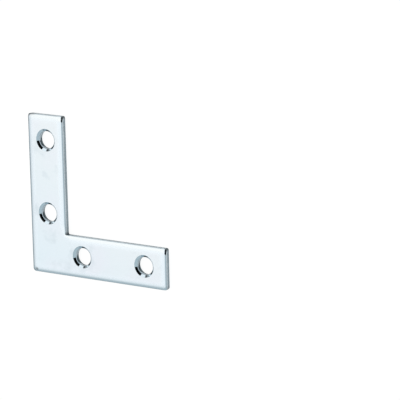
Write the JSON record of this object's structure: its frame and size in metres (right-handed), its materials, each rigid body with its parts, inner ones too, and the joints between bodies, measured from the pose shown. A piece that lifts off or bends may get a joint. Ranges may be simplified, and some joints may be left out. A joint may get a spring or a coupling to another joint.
{
  "type": "flat angle bracket",
  "caption": "Flat L-shaped steel plate with equal arms and countersunk screw holes, screwed across a corner joint to hold it square.",
  "frame": {"origin": "on the back face, where the lines of screw holes of the two arms cross", "axes": "+X along one arm and +Y along the other, +Z out of the countersunk front face"},
  "size_m": [0.04, 0.04, 0.0018],
  "materials": {
    "zinc_plate": "bright zinc plating with a pale blue passivate over blanked mild steel, edges lightly tumbled"
  },
  "bodies": {
    "root": {"bracket": "zinc_plate"}
  },
  "joints": []
}
